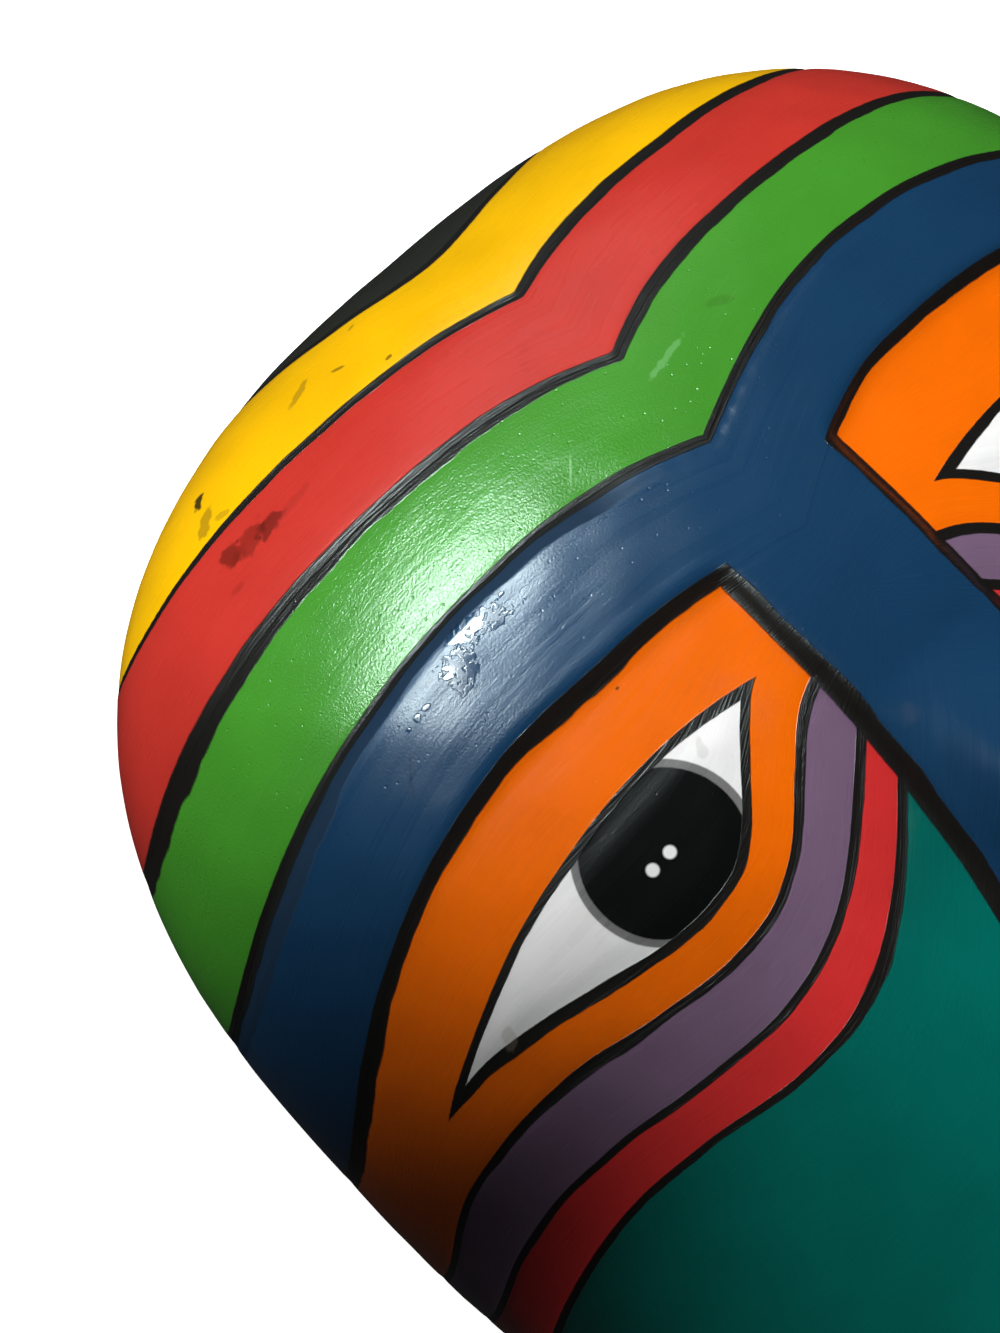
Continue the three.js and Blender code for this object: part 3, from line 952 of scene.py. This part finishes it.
# Relief, with heights in millimetres. The green was laid on thickly and dried rough, with pin holes, and
# the rest is smoother. The sunk panels and the eyes show fainter strokes, and the black lines are deeply
# combed by the bristles. The wet runs stand up and are smooth. A pin hole's radius is a share of their
# spacing.
PORE_SPACING, PORE_RADIUS = 2.1, (0.04, 0.14)
PAINT_RELIEF = {"anywhere": 0.3, "green": 0.7, "navy": 0.12}
PANEL_STROKES = 0.35
LINE_BRISTLES = 16.0
WET_RELIEF = 0.15
RUN_HEIGHT = 0.018
CLEAR_WEIGHT, CLEAR_ROUGHNESS = 0.3, 0.2

pores = {"Vector": place_mm, "Scale": 1 / PORE_SPACING}
pores = add(tree, "ShaderNodeTexVoronoi", pores).outputs["Distance"]
pores = {0: pores, 1: PORE_RADIUS[0], 2: PORE_RADIUS[1]}
pores = add(tree, "ShaderNodeMapRange", pores, interpolation_type="SMOOTHSTEP").outputs[0]
rough_coat = PAINT_RELIEF["anywhere"]
for name, where in (("green", in_green), ("navy", in_navy)):
    rough_coat = {0: where, 1: PAINT_RELIEF[name], 2: rough_coat}
    rough_coat = add(tree, "ShaderNodeMath", rough_coat, operation="MULTIPLY_ADD").outputs[0]
brushed = {0: inside([("brow", 1)], 0), 3: PANEL_STROKES}
brushed = add(tree, "ShaderNodeMapRange", brushed).outputs[0]
combed = {0: black, 1: LINE_BRISTLES, 2: brushed}
combed = add(tree, "ShaderNodeMath", combed, operation="MULTIPLY_ADD").outputs[0]
relief = 0.0
for pattern, height, share in (
    (strokes, 0.04, brushed), (bristles, 0.009, combed), (dimples, 0.042, rough_coat),
    (grain, 0.048, rough_coat), (pores, 0.06, rough_coat),
):
    part = add(tree, "ShaderNodeMath", {0: pattern, 1: share}, operation="MULTIPLY").outputs[0]
    relief = {0: part, 1: height, 2: relief}
    relief = add(tree, "ShaderNodeMath", relief, operation="MULTIPLY_ADD").outputs[0]
firm = add(tree, "ShaderNodeMapRange", {0: wet, 3: 1.0, 4: WET_RELIEF}).outputs[0]
relief = add(tree, "ShaderNodeMath", {0: relief, 1: firm}, operation="MULTIPLY").outputs[0]
relief = {0: thick, 1: RUN_HEIGHT, 2: relief}
relief = add(tree, "ShaderNodeMath", relief, operation="MULTIPLY_ADD").outputs[0]
bump = add(tree, "ShaderNodeBump", {"Height": relief, "Distance": MM}).outputs[0]
tree.links.new(bump, shader.inputs["Normal"])
tree.links.new(bump, shader.inputs["Coat Normal"])
# The clear skin is left off the painted shade in the groove under the green.
clear = add(tree, "ShaderNodeMapRange", {0: groove_shade, 3: CLEAR_WEIGHT, 4: 0.0}).outputs[0]
tree.links.new(clear, shader.inputs["Coat Weight"])
shader.inputs["Coat Roughness"].default_value = CLEAR_ROUGHNESS

# Bare wood behind: pale when it was cut, now brown with age and handling. The fibres run along the face, the
# rings show as broad soft bands, and dirt lies in patches.
WOODS = {"fibre_dark": "#6B4424", "fibre_pale": "#A87A4C", "dirt": "#4A3420"}
FIBRE_SHARE, RING_SHARE = 0.7, 0.9
PALE_SPAN = (0.5, 1.1)
DIRT_SPAN, DIRT_STRENGTH = (0.45, 0.72), 0.65
WOOD_ROUGHNESS = (0.68, 0.86)
FIBRE_RELIEF = 0.12 * MM

wood = bpy.data.materials.new("bare carved softwood")
wood.use_nodes = True
tree = wood.node_tree
shader = tree.nodes["Principled BSDF"]
place = add(tree, "ShaderNodeTexCoord").outputs["Object"]
place_mm = add(tree, "ShaderNodeVectorMath", {0: place, "Scale": 1 / MM}, operation="SCALE").outputs[0]
fibres = noise_at(tree, place_mm, (0.9, 38, 0.9), 3.0)
year_rings = noise_at(tree, place_mm, (5.5, 160, 9), 2.0)
age = noise_at(tree, place_mm, (26, 34, 26), 4.0)
pale = add(tree, "ShaderNodeMath", {0: fibres, 1: FIBRE_SHARE}, operation="MULTIPLY").outputs[0]
pale = {0: year_rings, 1: RING_SHARE, 2: pale}
pale = add(tree, "ShaderNodeMath", pale, operation="MULTIPLY_ADD").outputs[0]
pale = add(tree, "ShaderNodeMapRange", {0: pale, 1: PALE_SPAN[0], 2: PALE_SPAN[1]}).outputs[0]
dirt = {0: age, 1: DIRT_SPAN[0], 2: DIRT_SPAN[1], 4: DIRT_STRENGTH}
dirt = add(tree, "ShaderNodeMapRange", dirt).outputs[0]
colour = linear(WOODS["fibre_dark"])
for name, where in (("fibre_pale", pale), ("dirt", dirt)):
    cover = {"Factor": where, 6: colour, 7: linear(WOODS[name])}
    colour = add(tree, "ShaderNodeMix", cover, data_type="RGBA").outputs[2]
tree.links.new(colour, shader.inputs["Base Color"])
rough = NOISE_SPAN | {0: fibres, 3: WOOD_ROUGHNESS[0], 4: WOOD_ROUGHNESS[1]}
tree.links.new(add(tree, "ShaderNodeMapRange", rough).outputs[0], shader.inputs["Roughness"])
bump = add(tree, "ShaderNodeBump", {"Height": fibres, "Distance": FIBRE_RELIEF}).outputs[0]
tree.links.new(bump, shader.inputs["Normal"])

mask.data.materials.append(enamel)
mask.data.materials.append(wood)
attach(mask, "root")
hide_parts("mask")
